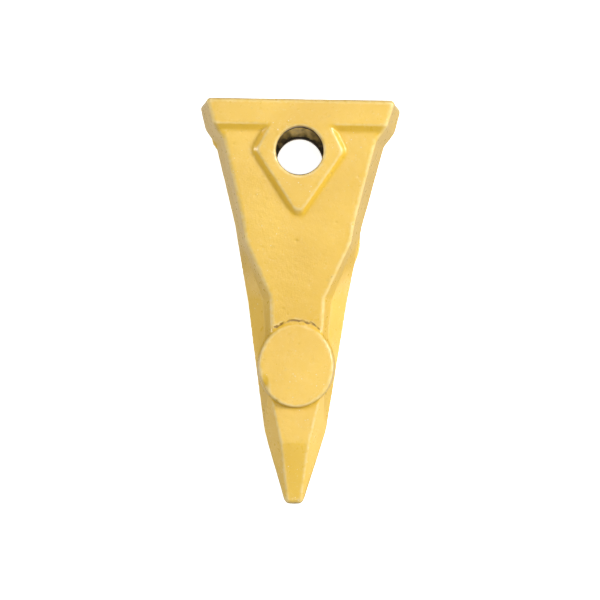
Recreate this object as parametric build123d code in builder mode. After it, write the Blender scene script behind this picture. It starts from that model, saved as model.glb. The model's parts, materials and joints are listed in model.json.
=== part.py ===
"""Excavator bucket tooth with a long pick, and the retaining pin set that holds it on its adapter.

The tooth is one steel casting. It is modelled in its own frame: the mouth of the nose socket lies in the
plane y = 0, the pick points along -Y, x = 0 and z = 0 are its planes of symmetry and the pin bore runs
along Z. The pin set is a steel pin with a slot in its side that holds a rubber spring and a steel key.
At the end the tooth is laid down on its lower side, touching the ground with its collar and its lower
feeder pad, and the pin set is laid lengthwise on the floor of the socket, past the bore.
"""

import math
import os

from build123d import *

# Outline of the casting without its collar, shields and feeder pads. Each line is a list of
# (distance from the mouth, value) in millimetres, straight between its points.
LENGTH = 230.2
HALF_WIDTH = ((0, 54.6), (69, 36.8), (112, 29.1), (188, 17.9), (227.5, 5.8), (229.2, 4.8), (LENGTH, 3.2))
HALF_HEIGHT = ((0, 46.4), (129, 22.9), (176, 15.5), (194.8, 14.0), (227.5, 5.2), (229.2, 4.3), (LENGTH, 2.8))
# Lean of a flank towards the middle per millimetre of height, and how deep the flank is hollowed halfway
# up: draft on the box, a scallop at the waist
FLANK_LEAN = (
    ((0, 0.1), (20, 0.13), (80, 0.15))
    + ((112, 0.53), (129, 0.52))
    + ((165, 0.36), (190, 0.34), (LENGTH, 0.1))
)
FLANK_HOLLOW = ((0, 0.3), (80, 0.3), (112, 2.4), (129, 2.4), (165, 0.3), (LENGTH, 0.1))
EDGE_ROUNDING = ((0, 2.2), (129, 2.0), (176, 1.2), (LENGTH, 0.8))

# Collar round the mouth. It runs out in two steps: first down to the panels, then on along the flanks.
# Both end a little under the surface of the casting.
RAISE = 3.0
SIDE_RAISE = 4.0
FLANK_HALFWAY = 0.6
SUNK = -0.05
COLLAR_LENGTH = 14.2
PANEL_RUN_OUT = 3.8
FLANK_RUN_OUT = 9.0
RIM_ROUNDING = 2.0

# Shield round the pin bore on the upper and lower face, by its outline where it meets the panel
SHIELD_REAR = 6.0
SHIELD_NECK = 19.5
SHIELD_HALF_WIDTH = 27.0
SHIELD_SHOULDER = 28.7
SHIELD_POINT = 68.8
SHIELD_ROUNDING = 4.0
SHIELD_SLOPE = 0.8
SHIELD_ROOT = 1.0

# Feeder pad on the upper and lower face, where the pick begins
PAD_CENTRE = 150.4
PAD_HALF_WIDTH = 21.3
PAD_HALF_LENGTH = 24.0
PAD_REAR_HEIGHT = 24.2
PAD_FRONT_HEIGHT = 20.0
PAD_DRAFT = 1.2
PAD_ROUNDING = 1.0

# Pick, with its bevelled sides, each through three points (x, distance, height)
PICK_START = 129
BEVEL_REAR = (17.9, 188.0, 0.0)
BEVEL_FRONT = (4.5, 226.6, 5.0)
BEVEL_RIDGE = (8.05, 194.8, 14.0)

# Socket for the nose of the adapter
SOCKET_WIDTH = ((0, 84.0), (100, 34.0), (137, 30.0))
SOCKET_HEIGHT = ((0, 72.0), (100, 36.0), (137, 26.0))
SOCKET_CORNER = 6.5
SOCKET_RIM = 2.0

# Pin bore
BORE_RADIUS = 13.5
BORE_CENTRE = 28.7
BORE_ROUNDING = 1.0

# Retaining pin, with the slot that holds the rubber and the key
PIN_RADIUS = 12.5
PIN_LENGTH = 84.0
PIN_CHAMFER = 2.5
SLOT_LENGTH = 44.0
SLOT_WIDTH = 11.0
SLOT_FLOOR = -3.0
RUBBER_THICKNESS = 7.0
KEY_GAP = 0.3
KEY_SHOULDER = 10.2
KEY_TOP = 15.5
KEY_NOSE = 16.0
KEY_RAMP = 6.0
KEY_ROUNDING = 1.0

# Place of the pin set in the socket
STOW_REAR = 49.2
STOW_GAP = 0.3


def along(line, distance):
    """Value of a line of (distance, value) points at a distance from the mouth."""
    for (d0, v0), (d1, v1) in zip(line, line[1:]):
        if distance <= d1:
            return v0 + (v1 - v0) * (distance - d0) / (d1 - d0)
    return line[-1][1]


def cross_plane(distance):
    """Plane across the tooth at a distance from the mouth, with its local y along +Z."""
    return Plane(origin=(0, -distance, 0), x_dir=(1, 0, 0), z_dir=(0, -1, 0))


def rounded_corner(before, corner, after, radius):
    """Arc that rounds a corner between two neighbouring points, running from the first to the last."""
    to_before = (before - corner).normalized()
    to_after = (after - corner).normalized()
    half_angle = math.acos(to_before.dot(to_after)) / 2
    reach = radius / math.tan(half_angle)
    return Edge.make_tangent_arc(corner + to_before * reach, -to_before, corner + to_after * reach)


def section(distance, collar=0.0, flank_collar=0.0):
    """Edges of the cross section at a distance from the mouth; 1 and 1 is the surface of the collar."""
    wide = along(HALF_WIDTH, distance) + flank_collar * SIDE_RAISE
    high = along(HALF_HEIGHT, distance) + collar * RAISE
    radius = along(EDGE_ROUNDING, distance)
    top = wide - along(FLANK_LEAN, distance) * high
    middle = (wide + top) / 2 - along(FLANK_HOLLOW, distance)
    upper_right = [(wide, 0), (middle, high / 2), (top, high)]
    upper_left = [(-x, z) for x, z in reversed(upper_right)]
    lower_left = [(x, -z) for x, z in reversed(upper_left[:-1])]
    lower_right = [(-x, z) for x, z in reversed(lower_left)]
    outline = [*upper_right, *upper_left, *lower_left, *lower_right[:-1]]
    points = [Vector(x, -distance, z) for x, z in outline]
    arcs = {
        index: rounded_corner(points[index - 1], points[index], points[(index + 1) % len(points)], radius)
        for index, (x, z) in enumerate(outline)
        if abs(z) == high
    }
    edges = []
    for index in range(len(points)):
        following = (index + 1) % len(points)
        if index in arcs:
            edges.append(arcs[index])
        start = arcs[index] @ 1 if index in arcs else points[index]
        end = arcs[following] @ 0 if following in arcs else points[following]
        edges.append(Edge.make_line(start, end))
    return edges


def skinned(sections):
    """Solid through a row of sections, each edge joined to the same edge of the next section."""
    walls = [
        Face.make_surface_from_curves(edge, next_edge)
        for one, following in zip(sections, sections[1:])
        for edge, next_edge in zip(one, following)
    ]
    ends = [Face(Wire(edges)) for edges in (sections[0], sections[-1])]
    return Solid(Shell([*walls, *ends]))


stations = sorted({d for line in (HALF_WIDTH, HALF_HEIGHT, FLANK_LEAN, FLANK_HOLLOW) for d, _ in line})
panel_slope = (HALF_HEIGHT[0][1] - HALF_HEIGHT[1][1]) / HALF_HEIGHT[1][0]
panel_stretch = math.hypot(1, panel_slope)
pad_height = (PAD_REAR_HEIGHT + PAD_FRONT_HEIGHT) / 2
pad_slope = (PAD_REAR_HEIGHT - PAD_FRONT_HEIGHT) / (2 * PAD_HALF_LENGTH)


def panel_plane(side):
    """Plane of the upper (side 1) or lower (side -1) panel, local y running back to the mouth."""
    origin = (0, 0, side * HALF_HEIGHT[0][1])
    return Plane(origin=origin, x_dir=(side, 0, 0), z_dir=(0, -panel_slope, side))


def shield(side, lift):
    """Outline of a shield at a height over the panel, narrower the higher it is."""
    rear = (SHIELD_NECK, SHIELD_REAR)
    half = [rear, (SHIELD_NECK, COLLAR_LENGTH), (SHIELD_HALF_WIDTH, SHIELD_SHOULDER)]
    left = [(-x, -d * panel_stretch) for x, d in half]
    right = [(x, -d * panel_stretch) for x, d in reversed(half)]
    with BuildSketch(panel_plane(side).offset(lift)) as outline:
        Polygon(*left, (0, -SHIELD_POINT * panel_stretch), *right, align=None)
        offset(amount=-lift * SHIELD_SLOPE, kind=Kind.INTERSECTION)
        lower = outline.vertices().sort_by(Axis.Y)[:3]
        fillet(lower, SHIELD_ROUNDING)
    return outline.sketch


def pad(plane, radius_gain):
    """Outline of a feeder pad on a plane through its axis."""
    with BuildSketch(plane) as outline:
        Ellipse(PAD_HALF_WIDTH + radius_gain, PAD_HALF_LENGTH + radius_gain)
    return outline.sketch


with BuildPart() as pick:
    add(skinned([section(station) for station in stations if station >= PICK_START]))
    for x_side in (1, -1):
        for z_side in (1, -1):
            rear, front, ridge = (
                Vector(x_side * x, -d, z_side * z) for x, d, z in (BEVEL_REAR, BEVEL_FRONT, BEVEL_RIDGE)
            )
            inward = (front - rear).cross(ridge - rear) * (x_side * z_side)
            split(bisect_by=Plane(origin=rear, z_dir=inward), keep=Keep.TOP)

with BuildPart() as tooth:
    add(skinned([section(station) for station in stations if station <= PICK_START]))
    add(pick.part)

    # Collar with its run-out
    panel_end = COLLAR_LENGTH + PANEL_RUN_OUT
    flank_end = COLLAR_LENGTH + FLANK_RUN_OUT
    steps = [(0, 1, 1), (COLLAR_LENGTH, 1, 1), (panel_end, SUNK, FLANK_HALFWAY), (flank_end, 4 * SUNK, SUNK)]
    add(skinned([section(*step) for step in steps]))

    # Shields
    for side in (1, -1):
        loft([shield(side, -SHIELD_ROOT), shield(side, RAISE / panel_stretch)], ruled=True)

    # Feeder pads
    for side in (1, -1):
        foot = Plane(origin=(0, -PAD_CENTRE, 0), x_dir=(side, 0, 0), z_dir=(0, 0, side))
        top_centre = (0, -PAD_CENTRE, side * pad_height)
        top = Plane(origin=top_centre, x_dir=(side, 0, 0), z_dir=(0, -pad_slope, side))
        loft([pad(foot, PAD_DRAFT), pad(top, 0)], ruled=True)

    # Edges of the pads
    pad_tops = [
        face
        for face in tooth.faces().filter_by(GeomType.PLANE)
        if abs(abs(face.center().Z) - pad_height) < 0.5 and abs(face.center().Y + PAD_CENTRE) < 2
    ]
    fillet([edge for face in pad_tops for edge in face.edges()], PAD_ROUNDING)

    # Rounded rim at the mouth
    rim = [edge for edge in tooth.edges().group_by(Axis.Y)[-1] if edge.length > 1]
    fillet(rim, RIM_ROUNDING)

    # Nose socket with its rim
    for (distance, width), (_, height) in zip(SOCKET_WIDTH, SOCKET_HEIGHT):
        with BuildSketch(cross_plane(distance)):
            RectangleRounded(width, height, SOCKET_CORNER)
    loft(ruled=True, mode=Mode.SUBTRACT)
    inner_rim = [
        edge
        for edge in tooth.edges().filter_by_position(Axis.Y, -0.01, 0.01)
        if abs(edge.center().X) < SOCKET_WIDTH[0][1] / 2 + 0.1
        if abs(edge.center().Z) < SOCKET_HEIGHT[0][1] / 2 + 0.1
    ]
    chamfer(inner_rim, SOCKET_RIM)

    # Pin bore
    with Locations((0, -BORE_CENTRE, 0)):
        Hole(BORE_RADIUS)
    bore_rims = [
        edge
        for face in tooth.faces().filter_by(GeomType.CYLINDER)
        if abs(face.radius - BORE_RADIUS) < 0.01
        for edge in face.edges()
        if abs(edge.bounding_box().center().Z) > SOCKET_HEIGHT[0][1] / 2
    ]
    fillet(bore_rims, BORE_ROUNDING)

slot_base = Plane.XY.offset(SLOT_FLOOR)
rubber_top = SLOT_FLOOR + RUBBER_THICKNESS
slot_middle = -PIN_LENGTH / 2

with BuildPart() as pin:
    Cylinder(PIN_RADIUS, PIN_LENGTH, rotation=(90, 0, 0), align=(Align.CENTER, Align.CENTER, Align.MIN))
    chamfer(pin.edges().filter_by(GeomType.CIRCLE), PIN_CHAMFER)
    with BuildSketch(slot_base):
        with Locations((0, slot_middle)):
            Rectangle(SLOT_WIDTH, SLOT_LENGTH)
    extrude(amount=2 * PIN_RADIUS, mode=Mode.SUBTRACT)

with BuildPart() as rubber:
    with BuildSketch(slot_base):
        with Locations((0, slot_middle)):
            Rectangle(SLOT_WIDTH, SLOT_LENGTH)
    extrude(amount=RUBBER_THICKNESS)

with BuildPart() as key:
    with BuildSketch(Plane.YZ) as profile:
        reach = SLOT_LENGTH / 2 - KEY_GAP
        Polygon(
            (slot_middle - reach, rubber_top),
            (slot_middle + reach, rubber_top),
            (slot_middle + reach, KEY_SHOULDER),
            (slot_middle + KEY_NOSE / 2 + KEY_RAMP, KEY_SHOULDER),
            (slot_middle + KEY_NOSE / 2, KEY_TOP),
            (slot_middle - KEY_NOSE / 2, KEY_TOP),
            (slot_middle - KEY_NOSE / 2 - KEY_RAMP, KEY_SHOULDER),
            (slot_middle - reach, KEY_SHOULDER),
            align=None,
        )
    extrude(amount=SLOT_WIDTH / 2 - KEY_GAP, both=True)
    above_rubber = key.edges().filter_by_position(Axis.Z, rubber_top + 0.1, KEY_TOP + 0.1)
    chamfer(above_rubber.filter_by(lambda edge: abs(edge.center().X) > 1), KEY_ROUNDING)

# The tooth lies with its collar and its lower feeder pad on the ground
pad_front = PAD_CENTRE + PAD_HALF_LENGTH
tilt = math.degrees(math.atan2(HALF_HEIGHT[0][1] + RAISE - PAD_FRONT_HEIGHT, pad_front))
box = (Rot(X=tilt) * tooth.part).bounding_box()
rest = Pos(0, -box.center().Y, -box.min.Z) * Rot(X=tilt)


def socket_floor(distance):
    """Point on the middle of the socket's floor, with the tooth at rest."""
    return (rest * Pos(0, -distance, -along(SOCKET_HEIGHT, distance) / 2)).position


# The pin set lies level on the floor of the socket, with its key upwards
under_pin = [STOW_REAR, SOCKET_HEIGHT[1][0], STOW_REAR + PIN_LENGTH]
pin_height = max(socket_floor(distance).Z for distance in under_pin) + PIN_RADIUS + STOW_GAP
stowed = Pos(0, socket_floor(STOW_REAR).Y, pin_height)

os.makedirs("parts", exist_ok=True)

tooth_point = rest * tooth.part
retaining_pin = stowed * pin.part
pin_rubber = stowed * rubber.part
lock_key = stowed * key.part

tooth_point.label = "tooth_point"
retaining_pin.label = "retaining_pin"
pin_rubber.label = "pin_rubber"
lock_key.label = "lock_key"
export_step(tooth_point, "parts/tooth_point.step")
export_step(retaining_pin, "parts/retaining_pin.step")
export_step(pin_rubber, "parts/pin_rubber.step")
export_step(lock_key, "parts/lock_key.step")
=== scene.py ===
"""Looks of the excavator bucket tooth: a painted steel casting with its pin set, on a pale floor."""

import json
import math
import random

import bpy
import numpy as np
from mathutils import Matrix, Vector, kdtree, noise


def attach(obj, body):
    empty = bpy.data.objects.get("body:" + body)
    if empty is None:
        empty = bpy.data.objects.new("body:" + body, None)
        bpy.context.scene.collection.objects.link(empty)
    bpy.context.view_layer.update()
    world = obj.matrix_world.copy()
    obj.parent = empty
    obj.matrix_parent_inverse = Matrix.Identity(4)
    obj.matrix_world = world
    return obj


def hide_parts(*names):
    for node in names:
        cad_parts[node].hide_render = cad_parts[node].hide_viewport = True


MM = 0.001

# Camera: over the tooth, off the bore's axis towards the tip
CAMERA_OFF_BORE = math.radians(1.8)
CAMERA_ROLL = math.radians(0.95)
CAMERA_DISTANCE = 1.7
FRAME_WIDTH = 0.348
AIM_FROM_MOUTH = 0.1122
AIM_SIDE = 0.0016

# Mesh of the casting: voxel size, smoothing rounds and the most triangles it may keep
VOXEL = 0.7 * MM
SMOOTHING = 8
MAX_TRIANGLES = 190000

# Socket and feeder pad of the casting, as in the CAD model
SOCKET_STATIONS = (0, 100 * MM, 137 * MM)
SOCKET_HALF_WIDTH = (42 * MM, 17 * MM, 15 * MM)
SOCKET_HALF_HEIGHT = (36 * MM, 18 * MM, 13 * MM)
PAD_CENTRE = 150.4 * MM
PAD_HALF_WIDTH = 21.3 * MM
PAD_HALF_LENGTH = 24.0 * MM

# How far past the CAD model's inner walls a point still counts as inside
INSIDE_MARGIN = 0.7 * MM
BORE_MARGIN = 0.6 * MM

# Half width of the casting over the distance from the mouth: roughly, to find the flanks, and as it is
# where the two remains of flash sit
FLANK_STATIONS = (0, 190 * MM, 230 * MM)
FLANK_HALF_WIDTH = (54 * MM, 17 * MM, 4 * MM)
FLASH_STATIONS = (0, 70 * MM, 113 * MM)
FLASH_HALF_WIDTH = (54.9 * MM, 36.9 * MM, 29.2 * MM)

# Relief of the cast skin. Each row of lumps has a size, a height and a seed.
SKIN_LUMPS = ((14 * MM, 0.10 * MM, 1), (4 * MM, 0.05 * MM, 2), (1.8 * MM, 0.025 * MM, 3))
SEAM_HALF_THICKNESS = 0.6 * MM
SEAM_START = 22 * MM
SEAM_HEIGHT = 0.12 * MM

# Remains of flash, each with its side, its distance from the mouth and its half length
FLASH_HEIGHT = 1.3 * MM
FLASH_REMAINS = ((1, 83 * MM, 11 * MM), (-1, 22.5 * MM, 4 * MM))
FLASH_REACH = 6 * MM
FLASH_HALF_THICKNESS = 1.4 * MM

# Torn line behind each feeder pad: its place as a share of the pad's radius, and how far it wanders
TEAR_RADIUS = 1.075
TEAR_WANDER = ((5 * MM, 0.045, 5), (1.7 * MM, 0.035, 6))
TEAR_THICKNESS = 0.48 * MM
TEAR_THICKNESS_CHANGE = 0.34 * MM
TEAR_DEPTH = 0.7 * MM
TEAR_HALF_LENGTH = 13.5 * MM

# Nick in the side of the upper feeder pad
NICK_PLACE = (-18.6 * MM, -162.5 * MM, 21 * MM)
NICK_REACH = (4.2 * MM, 8.5 * MM, 8 * MM)
NICK_DEPTH = 1.1 * MM

# Height over the middle from which a point belongs to the upper or lower face, not to a flank
FACES_FROM = 16 * MM

# Gas pits in the skin, their depth as a share of their radius
PIT_COUNT = 110
PIT_RADIUS = (0.5 * MM, 0.95 * MM)
PIT_DEPTH = 0.35

# Where the inside darkens, partly as the paint fading and partly as painted shade: from the mouth inwards,
# and from the outer surface into the bore
SOCKET_DARKENING_STARTS = 4 * MM
SOCKET_DARKENING_FADE = 14 * MM
BORE_DARKENING_STARTS = 46.5 * MM
BORE_FADE = 10 * MM

# Stage
FLOOR_GLOW = 0.9
FLOOR_REACH = 30.0
WORLD_STRENGTH = 0.11
LIGHT_AIM = (0, 0, 0.04)
SENSOR_WIDTH = 36

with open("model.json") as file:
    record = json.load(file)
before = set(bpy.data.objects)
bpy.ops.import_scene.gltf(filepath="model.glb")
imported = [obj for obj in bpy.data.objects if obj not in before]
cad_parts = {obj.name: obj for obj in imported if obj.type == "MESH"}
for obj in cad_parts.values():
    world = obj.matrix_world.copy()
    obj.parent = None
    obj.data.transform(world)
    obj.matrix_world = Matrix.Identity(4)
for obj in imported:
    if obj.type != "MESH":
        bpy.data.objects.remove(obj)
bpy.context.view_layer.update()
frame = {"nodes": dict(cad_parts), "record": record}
mounts = {mount["name"]: mount for mount in frame["record"]["mounts"]}
socket = mounts["nose_socket"]
bore = mounts["pin_bore"]
BORE_RADIUS = bore["dims"]["r_mm"] * MM
BORE_FROM_MOUTH = (Vector(bore["pos_m"]) - Vector(socket["pos_m"])).length

# The tooth's own frame has its origin in the socket's mouth and its axis along Y. It lies nose-down.
TILT = math.atan2(socket["axis"][2], socket["axis"][1])
TO_ROW = Matrix.Translation(socket["pos_m"]) @ Matrix.Rotation(TILT, 4, "X")
TO_TOOTH = TO_ROW.inverted()


# ---------------------------------------------------------------- mesh helpers
def mesh_copy(node, name):
    """New object with a copy of a CAD node's mesh."""
    piece = bpy.data.objects.new(name, node.data.copy())
    bpy.context.collection.objects.link(piece)
    piece.matrix_world = node.matrix_world
    return piece


def apply_modifiers(piece):
    """Replaces a piece's mesh by what its modifiers make of it."""
    depsgraph = bpy.context.evaluated_depsgraph_get()
    mesh = bpy.data.meshes.new_from_object(piece.evaluated_get(depsgraph))
    piece.modifiers.clear()
    piece.data = mesh


def read_points(mesh):
    """Vertex places as an array."""
    points = np.empty(len(mesh.vertices) * 3)
    mesh.vertices.foreach_get("co", points)
    return points.reshape(-1, 3)


def read_normals(mesh):
    """Vertex normals as an array."""
    normals = np.empty(len(mesh.vertices) * 3)
    mesh.vertices.foreach_get("normal", normals)
    return normals.reshape(-1, 3)


def write_points(mesh, points):
    """Moves the vertices to an array of places."""
    mesh.vertices.foreach_set("co", points.ravel())
    mesh.update()


def read_edges(mesh):
    """Both ends of every edge as an array."""
    edges = np.empty(len(mesh.edges) * 2, dtype=np.int64)
    mesh.edges.foreach_get("vertices", edges)
    return edges.reshape(-1, 2)


def neighbour_mean(values, edges, count):
    """Mean over each vertex's neighbours of a value per vertex."""
    total = np.zeros((count,) + values.shape[1:])
    number = np.zeros(count)
    for a, b in ((0, 1), (1, 0)):
        np.add.at(total, edges[:, a], values[edges[:, b]])
        np.add.at(number, edges[:, a], 1)
    number = np.maximum(number, 1)
    return total / (number[:, None] if values.ndim > 1 else number)


def sharpness(mesh, rounds):
    """How convex the surface is at each vertex: above 0 on edges, below 0 in corners."""
    points = read_points(mesh)
    normals = read_normals(mesh)
    edges = read_edges(mesh)
    flat = points
    for _ in range(rounds):
        flat = neighbour_mean(flat, edges, len(points))
    return np.einsum("ij,ij->i", points - flat, normals)


def in_tooth_frame(points):
    """Places in the tooth's own frame."""
    matrix = np.array(TO_TOOTH)
    return points @ matrix[:3, :3].T + matrix[:3, 3]


def lumps(points, size, seed):
    """Smooth noise between -1 and 1 at each place, with lumps of a size."""
    shift = Vector((seed * 17.3, seed * 5.1, seed * 11.7))
    return np.array([noise.noise(Vector(p) / size + shift) for p in points])


def search_tree(points):
    """Tree that finds the points near a place."""
    tree = kdtree.KDTree(len(points))
    for index, point in enumerate(points):
        tree.insert(point, index)
    tree.balance()
    return tree


def add_value(mesh, name, values):
    """Stores a number per vertex for the materials to read."""
    attribute = mesh.attributes.new(name, "FLOAT", "POINT")
    attribute.data.foreach_set("value", values.astype(np.float32))


# ---------------------------------------------------------------- casting
def bump_at(points, place, reach):
    """1 at a place, falling smoothly to 0 at a distance from it along each axis."""
    away = np.linalg.norm((points - np.array(place)) / np.array(reach), axis=1)
    return np.clip(1 - away, 0, 1) ** 2 * (3 - 2 * np.clip(1 - away, 0, 1))


def torn_line(tooth_points):
    """1 along the ragged crack behind each feeder pad, where the feeder was knocked off, 0 elsewhere."""
    x, y, z = tooth_points.T
    ahead = (y + PAD_CENTRE) / PAD_HALF_LENGTH
    radius = np.hypot(x / PAD_HALF_WIDTH, ahead)
    wander = TEAR_RADIUS + sum(share * lumps(tooth_points, size, seed) for size, share, seed in TEAR_WANDER)
    thickness = TEAR_THICKNESS + TEAR_THICKNESS_CHANGE * lumps(tooth_points, 3 * MM, 9)
    line = np.exp(-(((radius - wander) * PAD_HALF_LENGTH / thickness) ** 2))
    patchy = np.clip(0.75 + 1.3 * lumps(tooth_points, 3.5 * MM, 8), 0, 1)
    return line * patchy * (ahead > 0) * (np.abs(x) < TEAR_HALF_LENGTH) * (np.abs(z) > FACES_FROM)


def cast_relief(tooth_points):
    """Height of the cast skin over the smooth shape, at places in the tooth's frame."""
    height = sum(depth * lumps(tooth_points, size, seed) for size, depth, seed in SKIN_LUMPS)
    x, y, z = tooth_points.T

    # Seam of the mould along the flanks, with two remains of flash
    near_flank = np.abs(x) > 0.75 * np.interp(-y, FLANK_STATIONS, FLANK_HALF_WIDTH)
    seam = np.exp(-((z / SEAM_HALF_THICKNESS) ** 2)) * (near_flank & (y < -SEAM_START))
    height += seam * SEAM_HEIGHT * (1 + lumps(tooth_points, 9 * MM, 4))
    for side, distance, length in FLASH_REMAINS:
        half_width = np.interp(distance, FLASH_STATIONS, FLASH_HALF_WIDTH)
        reach = (FLASH_REACH, length, FLASH_HALF_THICKNESS)
        height += FLASH_HEIGHT * bump_at(tooth_points, (side * half_width, -distance, 0), reach)

    height -= TEAR_DEPTH * torn_line(tooth_points)
    height -= NICK_DEPTH * bump_at(tooth_points, NICK_PLACE, NICK_REACH) * (z > FACES_FROM)
    return height


def pits(tooth_points, seed):
    """Small gas pits in the skin, as a height below the surface."""
    chance = random.Random(seed)
    height = np.zeros(len(tooth_points))
    tree = search_tree(tooth_points)
    for _ in range(PIT_COUNT):
        centre = tooth_points[chance.randrange(len(tooth_points))]
        size = chance.uniform(*PIT_RADIUS)
        for _, index, distance in tree.find_range(Vector(centre), size):
            height[index] -= PIT_DEPTH * size * (1 - (distance / size) ** 2)
    return height


def inside_amount(tooth_points, normals):
    """0 outside, rising to 1 deep in the socket and the bore, where little paint reaches and where the
    paint material also lays on painted shade.
    """
    x, y, z = tooth_points.T
    room_x = np.interp(-y, SOCKET_STATIONS, SOCKET_HALF_WIDTH) + INSIDE_MARGIN
    room_z = np.interp(-y, SOCKET_STATIONS, SOCKET_HALF_HEIGHT) + INSIDE_MARGIN
    end = SOCKET_STATIONS[-1]
    faces_in = (x * normals[:, 0] + z * normals[:, 2] < 0) | (-y > end - 1.5 * MM)
    in_socket = faces_in & (np.abs(x) < room_x) & (np.abs(z) < room_z) & (-y < end + 1 * MM)
    amount = in_socket * np.clip((-y - SOCKET_DARKENING_STARTS) / SOCKET_DARKENING_FADE, 0, 1)
    in_bore = np.hypot(x, y + BORE_FROM_MOUTH) < BORE_RADIUS + BORE_MARGIN
    return np.maximum(amount, in_bore * np.clip((BORE_DARKENING_STARTS - np.abs(z)) / BORE_FADE, 0, 1))


def make_casting():
    """Cast and painted body in place of the CAD tooth."""
    piece = mesh_copy(frame["nodes"]["tooth_point"], "tooth_casting")
    weld = piece.modifiers.new("weld", "WELD")
    weld.merge_threshold = 0.01 * MM
    remesh = piece.modifiers.new("remesh", "REMESH")
    remesh.mode = "VOXEL"
    remesh.voxel_size = VOXEL
    smooth = piece.modifiers.new("smooth", "SMOOTH")
    smooth.factor = 0.5
    smooth.iterations = SMOOTHING
    apply_modifiers(piece)

    points = read_points(piece.data)
    tooth_points = in_tooth_frame(points)
    normals = read_normals(piece.data) @ np.array(TO_TOOTH.to_3x3()).T
    inside = inside_amount(tooth_points, normals)
    height = cast_relief(tooth_points) * (1 - 0.5 * inside) + pits(tooth_points, 7)
    write_points(piece.data, points + read_normals(piece.data) * height[:, None])
    fine = read_points(piece.data)
    edge = sharpness(piece.data, 3)
    torn = torn_line(tooth_points)

    decimate = piece.modifiers.new("decimate", "DECIMATE")
    decimate.ratio = min(1.0, MAX_TRIANGLES / (2 * len(piece.data.polygons)))
    apply_modifiers(piece)
    mesh = piece.data
    tree = search_tree(fine)
    nearest = np.array([tree.find(point)[1] for point in read_points(mesh)])
    add_value(mesh, "edge", edge[nearest] / MM)
    add_value(mesh, "inside", inside[nearest])
    add_value(mesh, "torn", torn[nearest])
    mesh.polygons.foreach_set("use_smooth", np.ones(len(mesh.polygons), dtype=bool))
    return piece


# ---------------------------------------------------------------- material helpers
class Nodes:
    """Short ways to add nodes to a material."""

    def __init__(self, name):
        self.material = bpy.data.materials.new(name)
        self.material.use_nodes = True
        self.tree = self.material.node_tree
        self.shader = self.tree.nodes["Principled BSDF"]
        self.place = self.add("ShaderNodeTexCoord").outputs["Object"]

    def add(self, kind, **settings):
        node = self.tree.nodes.new(kind)
        for key, value in settings.items():
            setattr(node, key, value)
        return node

    def feed(self, socket, value):
        if isinstance(value, bpy.types.NodeSocket):
            self.tree.links.new(value, socket)
        else:
            socket.default_value = value

    def noise(self, size, detail=2.0, roughness=0.5, place=None):
        """Noise with features of a size in metres."""
        node = self.add("ShaderNodeTexNoise")
        self.feed(node.inputs["Vector"], place or self.place)
        node.inputs["Scale"].default_value = 1 / size
        node.inputs["Detail"].default_value = detail
        node.inputs["Roughness"].default_value = roughness
        return node.outputs["Fac"]

    def spots(self, spacing, radius):
        """1 in round spots of a radius, scattered at a spacing, and 0 between them."""
        node = self.add("ShaderNodeTexVoronoi")
        self.feed(node.inputs["Vector"], self.place)
        node.inputs["Scale"].default_value = 1 / spacing
        return self.ramp(node.outputs["Distance"], radius / spacing, 0.6 * radius / spacing)

    def ramp(self, value, low, high, to_low=0.0, to_high=1.0):
        """Maps a value from one range to another, clamped."""
        node = self.add("ShaderNodeMapRange")
        self.feed(node.inputs["Value"], value)
        for key, number in zip(("From Min", "From Max", "To Min", "To Max"), (low, high, to_low, to_high)):
            node.inputs[key].default_value = number
        return node.outputs["Result"]

    def math(self, operation, a, b):
        node = self.add("ShaderNodeMath", operation=operation)
        self.feed(node.inputs[0], a)
        self.feed(node.inputs[1], b)
        return node.outputs[0]

    def mix(self, amount, a, b, blend="MIX"):
        """Mixes two colours."""
        node = self.add("ShaderNodeMix", data_type="RGBA", blend_type=blend)
        self.feed(node.inputs["Factor"], amount)
        self.feed(node.inputs[6], (*a, 1) if isinstance(a, tuple) else a)
        self.feed(node.inputs[7], (*b, 1) if isinstance(b, tuple) else b)
        return node.outputs[2]

    def value(self, name):
        """A number per vertex that the mesh carries."""
        return self.add("ShaderNodeAttribute", attribute_name=name).outputs["Fac"]

    def bump(self, height, depth, normal=None):
        """Bump from a height of 0 to 1 that is so deep, in metres."""
        node = self.add("ShaderNodeBump")
        node.inputs["Distance"].default_value = depth
        self.feed(node.inputs["Height"], height)
        if normal:
            self.feed(node.inputs["Normal"], normal)
        return node.outputs["Normal"]

    def finish(self, colour, roughness, normal, **constants):
        self.feed(self.shader.inputs["Base Color"], colour)
        self.feed(self.shader.inputs["Roughness"], roughness)
        self.feed(self.shader.inputs["Normal"], normal)
        for name, value in constants.items():
            self.shader.inputs[name.replace("_", " ")].default_value = value
        return self.material


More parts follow.
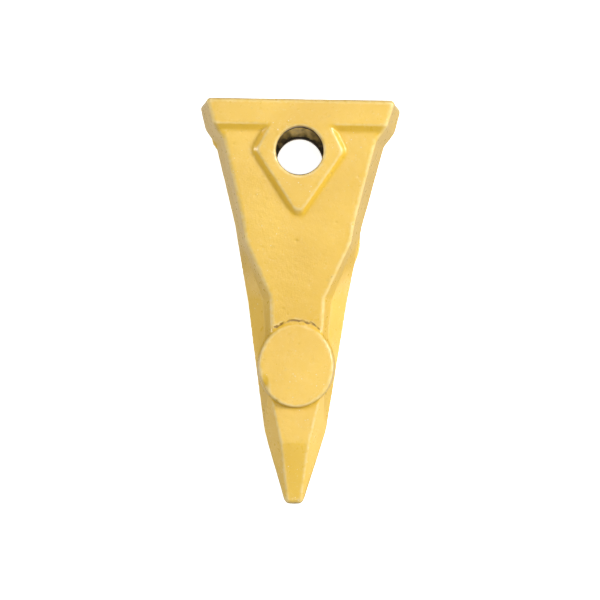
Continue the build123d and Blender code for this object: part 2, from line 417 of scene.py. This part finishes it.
# ---------------------------------------------------------------- materials
def yellow_paint():
    """Sprayed yellow paint over cast steel: uneven in tone, with pale flecks partly painted glints, edges
    paler as wear and painted highlight, painted shade in the creases and torn line, fading inside to dark
    steel with painted shade.
    """
    n = Nodes("yellow_paint")
    edge = n.value("edge")
    inside = n.value("inside")

    # Paint: clouds, grain, dark dust, and pale flecks that are partly spattered paint and partly painted
    # glints
    cloud = n.ramp(n.noise(0.035, 3), 0.35, 0.65)
    colour = n.mix(cloud, (0.755, 0.465, 0.042), (0.825, 0.525, 0.058))
    grain = n.ramp(n.noise(0.0012, 3, 0.65), 0.60, 0.72)
    colour = n.mix(n.math("MULTIPLY", grain, 0.35), colour, (0.93, 0.74, 0.32))
    dust = n.math("MULTIPLY", n.spots(0.009, 0.00045), n.ramp(n.noise(0.05, 1), 0.45, 0.6))
    colour = n.mix(n.math("MULTIPLY", dust, 0.7), colour, (0.16, 0.10, 0.05))
    pale_flecks_and_glints = n.math("MULTIPLY", n.spots(0.0032, 0.00036), n.ramp(n.noise(0.03, 2), 0.48, 0.6))
    colour = n.mix(n.math("MULTIPLY", pale_flecks_and_glints, 0.8), colour, (0.98, 0.88, 0.60))

    # Paler on the edges, partly worn paint and partly painted highlight
    worn_edge_and_highlight = n.math("MULTIPLY", n.ramp(edge, 0.02, 0.11), n.ramp(n.noise(0.004, 2), 0.30, 0.55, 0.45, 1.0))
    colour = n.mix(n.math("MULTIPLY", worn_edge_and_highlight, 0.5), colour, (0.95, 0.80, 0.46))
    # Painted shade: darker in the concave creases
    crease_shade = n.ramp(edge, -0.04, -0.20)
    colour = n.mix(n.math("MULTIPLY", crease_shade, 0.30), colour, (0.45, 0.27, 0.04))
    # Painted shade: the torn line's crack darkened
    colour = n.mix(n.ramp(n.value("torn"), 0.1, 0.6, 0.0, 0.92), colour, (0.28, 0.155, 0.03))

    # Dark steel deep inside: unpainted steel with its scale colours made darker as painted shade in the
    # socket and bore
    scale = n.mix(n.ramp(n.noise(0.006, 4, 0.6), 0.4, 0.6), (0.052, 0.036, 0.016), (0.100, 0.066, 0.026))
    unpainted_and_shade = n.ramp(n.math("ADD", inside, n.ramp(n.noise(0.007, 4, 0.6), 0.3, 0.7, -0.3, 0.3)), 0.25, 0.85)
    colour = n.mix(unpainted_and_shade, colour, scale)

    # Gloss, orange peel and sand texture
    gloss = n.ramp(n.noise(0.003, 3), 0.3, 0.7, 0.26, 0.36)
    roughness = n.math("MAXIMUM", gloss, unpainted_and_shade)
    peel = n.bump(n.noise(0.0016, 2, 0.5), 0.00007)
    sand = n.bump(n.noise(0.0007, 3, 0.7), 0.00007, peel)
    return n.finish(colour, roughness, sand, IOR=1.55)


def dark_steel():
    """Hardened pin steel: dark scale with turned and rubbed bright streaks."""
    n = Nodes("pin_steel")
    blotch = n.ramp(n.noise(0.012, 4, 0.6), 0.35, 0.65)
    colour = n.mix(blotch, (0.20, 0.20, 0.21), (0.36, 0.355, 0.35))
    stretched = n.add("ShaderNodeMapping")
    n.feed(stretched.inputs["Vector"], n.place)
    stretched.inputs["Scale"].default_value = (1, 0.04, 1)
    streaks = n.noise(0.0009, 3, 0.6, stretched.outputs["Vector"])
    rubbed = n.math("MULTIPLY", n.ramp(streaks, 0.5, 0.7), n.ramp(n.noise(0.02, 2), 0.45, 0.65))
    colour = n.mix(n.math("MULTIPLY", rubbed, 0.7), colour, (0.52, 0.51, 0.49))
    roughness = n.ramp(n.noise(0.005, 3), 0.3, 0.7, 0.34, 0.55)
    normal = n.bump(streaks, 0.00002)
    return n.finish(colour, roughness, normal, Metallic=1.0)


def bright_steel():
    """Milled key steel with fine tool marks."""
    n = Nodes("key_steel")
    stretched = n.add("ShaderNodeMapping")
    n.feed(stretched.inputs["Vector"], n.place)
    stretched.inputs["Scale"].default_value = (0.05, 1, 1)
    marks = n.noise(0.0006, 3, 0.6, stretched.outputs["Vector"])
    colour = n.mix(marks, (0.58, 0.58, 0.59), (0.80, 0.79, 0.77))
    roughness = n.ramp(marks, 0.3, 0.7, 0.24, 0.42)
    return n.finish(colour, roughness, n.bump(marks, 0.00002), Metallic=1.0)


def black_rubber():
    """Moulded rubber with a chalky bloom."""
    n = Nodes("black_rubber")
    bloom = n.ramp(n.noise(0.005, 4, 0.6), 0.4, 0.7)
    colour = n.mix(bloom, (0.012, 0.012, 0.013), (0.045, 0.045, 0.044))
    roughness = n.ramp(n.noise(0.002, 2), 0.3, 0.7, 0.62, 0.85)
    return n.finish(colour, roughness, n.bump(n.noise(0.0005, 3), 0.00003), IOR=1.52)


def pale_floor():
    """Back-lit white table."""
    n = Nodes("pale_floor")
    colour = n.mix(n.noise(0.2, 2), (0.88, 0.88, 0.88), (0.92, 0.92, 0.92))
    material = n.finish(colour, 0.7, n.bump(n.noise(0.002, 2), 0.00002))
    n.shader.inputs["Emission Color"].default_value = (1, 1, 1, 1)
    n.shader.inputs["Emission Strength"].default_value = FLOOR_GLOW
    return material


# ---------------------------------------------------------------- stage
def make_floor():
    """Large glowing floor that only the camera sees: it throws no light and no reflections on the tooth."""
    mesh = bpy.data.meshes.new("floor")
    corners = [(x * FLOOR_REACH, y * FLOOR_REACH, 0) for x, y in ((-1, -1), (1, -1), (1, 1), (-1, 1))]
    mesh.from_pydata(corners, [], [(0, 1, 2, 3)])
    mesh.materials.append(pale_floor())
    floor = bpy.data.objects.new("floor", mesh)
    bpy.context.collection.objects.link(floor)
    floor.visible_diffuse = False
    floor.visible_glossy = False
    floor.visible_shadow = False


def make_light(name, size, power, bearing, height, distance):
    """Square soft light, aimed at the tooth, at a bearing (0 is +X, 90 is +Y) and a height in degrees."""
    light = bpy.data.lights.new(name, "AREA")
    light.size = size
    light.energy = power
    lamp = bpy.data.objects.new(name, light)
    bpy.context.collection.objects.link(lamp)
    bearing = math.radians(bearing)
    height = math.radians(height)
    flat = math.cos(height)
    away = Vector((math.cos(bearing) * flat, math.sin(bearing) * flat, math.sin(height)))
    aim = Vector(LIGHT_AIM)
    lamp.location = aim + away * distance
    lamp.rotation_euler = away.to_track_quat("Z", "Y").to_euler()


def make_studio():
    """Floor, soft lights and an even, faint surrounding."""
    make_floor()
    make_light("right", 0.32, 15.5, bearing=0, height=32, distance=1.3)
    make_light("top", 0.9, 6.9, bearing=60, height=82, distance=1.5)
    make_light("tip", 0.22, 1.7, bearing=-95, height=33, distance=1.3)
    make_light("front", 0.3, 3.2, bearing=-90, height=68, distance=1.6)
    make_light("left", 0.14, 7.2, bearing=182, height=10, distance=1.3)
    make_light("bounce_left", 0.3, 0.35, bearing=190, height=-36, distance=0.8)
    make_light("back", 0.5, 2.0, bearing=105, height=22, distance=1.3)
    make_light("below", 0.9, 1.3, bearing=0, height=-90, distance=0.7)
    make_light("bounce_right", 0.36, 0.9, bearing=-7, height=-30, distance=0.8)
    world = bpy.data.worlds.new("studio")
    bpy.context.scene.world = world
    world.use_nodes = True
    background = world.node_tree.nodes["Background"]
    background.inputs["Color"].default_value = (1, 1, 1, 1)
    background.inputs["Strength"].default_value = WORLD_STRENGTH
    bpy.context.scene.view_settings.view_transform = "Standard"


def make_camera():
    """Camera over the tooth, a little to the tip side of the bore's axis."""
    data = bpy.data.cameras.new("camera")
    data.sensor_width = SENSOR_WIDTH
    data.lens = SENSOR_WIDTH * CAMERA_DISTANCE / FRAME_WIDTH
    camera = bpy.data.objects.new("camera", data)
    bpy.context.collection.objects.link(camera)
    aim = TO_ROW @ Vector((AIM_SIDE, -AIM_FROM_MOUTH, 0))
    turn = Matrix.Rotation(TILT + CAMERA_OFF_BORE, 4, "X") @ Matrix.Rotation(CAMERA_ROLL, 4, "Z")
    camera.matrix_world = Matrix.Translation(aim) @ turn @ Matrix.Translation((0, 0, CAMERA_DISTANCE))
    bpy.context.scene.camera = camera


# ---------------------------------------------------------------- pieces
def dress(piece, material):
    """Gives a piece its only material."""
    piece.data.materials.clear()
    piece.data.materials.append(material)


def make_pieces():
    """Casting in place of the CAD tooth, and the materials of the pin set."""
    casting = make_casting()
    dress(casting, yellow_paint())
    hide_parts("tooth_point")
    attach(casting, "tooth")
    dress(frame["nodes"]["retaining_pin"], dark_steel())
    dress(frame["nodes"]["lock_key"], bright_steel())
    dress(frame["nodes"]["pin_rubber"], black_rubber())


make_pieces()
make_studio()
make_camera()
